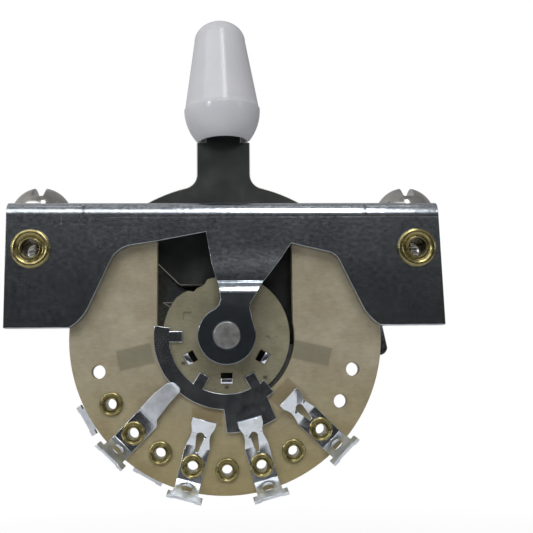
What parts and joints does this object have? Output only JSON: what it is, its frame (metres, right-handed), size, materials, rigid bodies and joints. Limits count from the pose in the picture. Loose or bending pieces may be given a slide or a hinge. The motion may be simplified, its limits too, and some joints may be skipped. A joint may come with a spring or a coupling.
{
  "type": "guitar pickup selector switch",
  "caption": "Blade style rotary lever switch: folded steel frame, phenolic wafer with spring contact clips, turning rotor, and a flat lever with a moulded tip.",
  "frame": {"origin": "centre of the panel face (top of the frame's flange), midway between the two panel screws", "axes": "+Z out of the panel along the lever at rest, +X along the flange to the right of the picture, +Y back along the shaft"},
  "size_m": [0.0478, 0.0156, 0.0538],
  "materials": {
    "zinc_steel": "bright zinc plate, semi-gloss",
    "brass": "bright rolled brass",
    "nickel_steel": "nickel plate, slightly warm",
    "tan_phenolic": "translucent tan phenolic board",
    "silver_plate": "silver-plated spring brass",
    "olive_phenolic": "olive tan phenolic board",
    "turned_steel": "turned and stamped steel",
    "black_steel": "black oxide, satin",
    "white_plastic": "glossy white moulding",
    "spring_steel": "music wire"
  },
  "bodies": {
    "switch_frame": {"frame": "zinc_steel", "wing_eyelet_left": "brass", "wing_eyelet_right": "brass", "panel_screw_left": "nickel_steel", "panel_screw_right": "nickel_steel", "stator_wafer": "tan_phenolic", "front_common_clip": "silver_plate", "front_clip_1": "silver_plate", "front_clip_2": "silver_plate", "front_clip_3": "silver_plate", "rear_common_clip": "silver_plate", "rear_clip_1": "silver_plate", "rear_clip_2": "silver_plate", "rear_clip_3": "silver_plate", "front_common_rivet": "brass", "front_rivet_1": "brass", "front_rivet_2": "brass", "front_rivet_3": "brass", "rear_common_rivet": "brass", "rear_rivet_1": "brass", "rear_rivet_2": "brass", "rear_rivet_3": "brass", "arm_pivot": "turned_steel", "detent_spring": "spring_steel"},
    "lever": {"shaft": "turned_steel", "rotor_disc": "olive_phenolic", "front_ring": "silver_plate", "rear_ring": "silver_plate", "rotor_spacer": "turned_steel", "lever_plate": "black_steel", "tip": "white_plastic"},
    "arm": {"detent_arm": "turned_steel", "roller_pin": "turned_steel"},
    "roller": {"detent_roller": "turned_steel"}
  },
  "joints": [
    {"name": "lever_swing", "type": "hinge", "parent": "switch_frame", "child": "lever", "pos_m": [0, 0, -0.01455], "axis": [0, 1, 0], "range_deg": [-30, 30]},
    {"name": "arm_swing", "type": "hinge", "parent": "switch_frame", "child": "arm", "pos_m": [0.0125, 0, -0.01455], "axis": [0, 1, 0], "range_deg": [0, 3.5], "stiffness_Nm_per_rad": 0.05, "springref_deg": 51.57, "deforming": ["detent_spring"]},
    {"name": "roller_spin", "type": "hinge", "parent": "arm", "child": "roller", "pos_m": [0.00794, 0, -0.02057], "axis": [0, 1, 0], "continuous": true}
  ]
}
